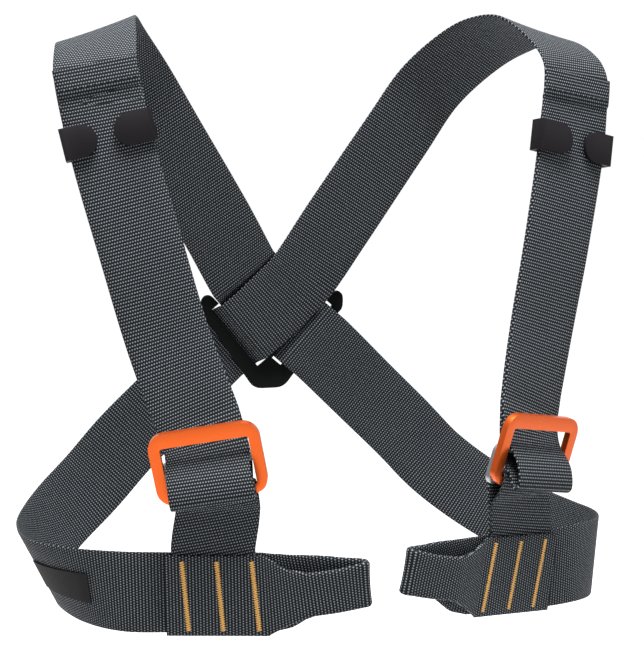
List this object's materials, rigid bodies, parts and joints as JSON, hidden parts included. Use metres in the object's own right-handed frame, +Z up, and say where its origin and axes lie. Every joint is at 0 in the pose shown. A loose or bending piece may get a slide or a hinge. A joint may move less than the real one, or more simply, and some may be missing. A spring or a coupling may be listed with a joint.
{
  "type": "climbing chest harness",
  "caption": "Chest harness of flat webbing, crossed at the back, with ring buckles on the front straps and folded tie-in loops on the chest band.",
  "frame": {"origin": "midway between the tops of the two shoulder straps", "axes": "+Z up, -Y the way the wearer faces, +X the wearer's left"},
  "size_m": [0.3406, 0.2257, 0.3349],
  "materials": {
    "webbing": "coarse plain weave",
    "orange_aluminium": "orange anodised",
    "inner_ring_metal": "tumbled",
    "keeper_plastic": "moulded",
    "slider_plastic": "satin moulded",
    "woven_label": "fine woven"
  },
  "bodies": {
    "root": {"strap_left_shoulder": "webbing", "strap_right_shoulder": "webbing", "riser_right": "webbing", "riser_left": "webbing", "buckle_ring_right": "orange_aluminium", "buckle_ring_left": "orange_aluminium", "buckle_bar_right": "inner_ring_metal", "buckle_bar_left": "inner_ring_metal", "keeper_right": "keeper_plastic", "keeper_left": "keeper_plastic", "back_slider": "slider_plastic", "label_patch": "woven_label"}
  },
  "joints": []
}
